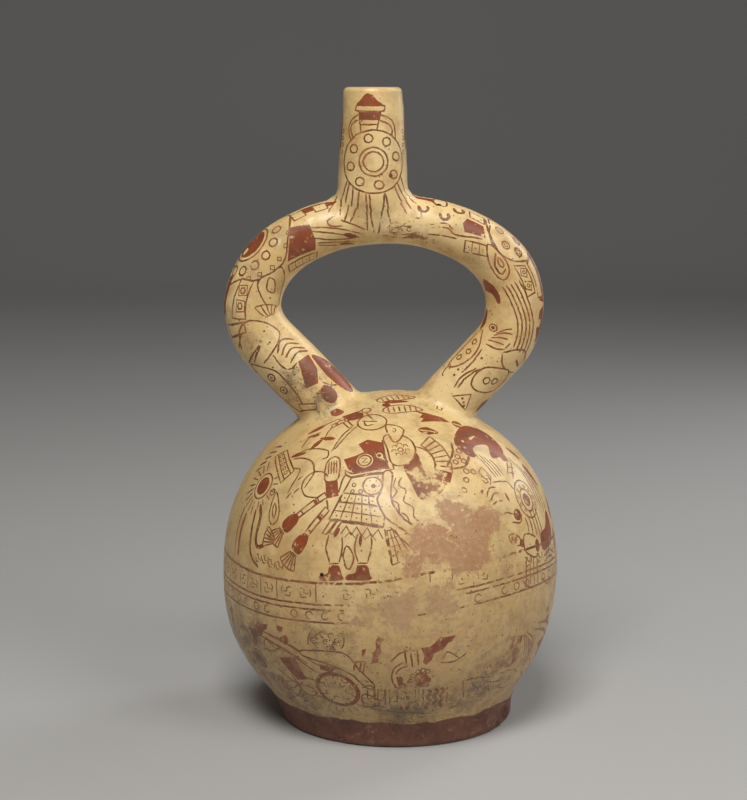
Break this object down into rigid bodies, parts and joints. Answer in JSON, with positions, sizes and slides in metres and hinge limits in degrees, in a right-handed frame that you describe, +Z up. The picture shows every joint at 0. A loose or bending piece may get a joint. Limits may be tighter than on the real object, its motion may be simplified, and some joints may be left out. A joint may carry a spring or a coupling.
{
  "type": "stirrup spout vessel",
  "caption": "Hollow slip-painted pottery bottle: a round chamber on a ring foot, with an arched stirrup of tube that carries one tapered spout.",
  "frame": {"origin": "on the chamber's vertical axis, in the plane of the foot's underside", "axes": "+Z up along the chamber's axis towards the spout's lip; the stirrup lies in the XZ plane; the painted front faces -Y"},
  "size_m": [0.1518, 0.1518, 0.284],
  "materials": {
    "painted_slip_pottery": "burnished cream slip with red-brown fineline painting, worn and dirty"
  },
  "bodies": {
    "root": {"stirrup_spout_bottle": "painted_slip_pottery"}
  },
  "joints": []
}
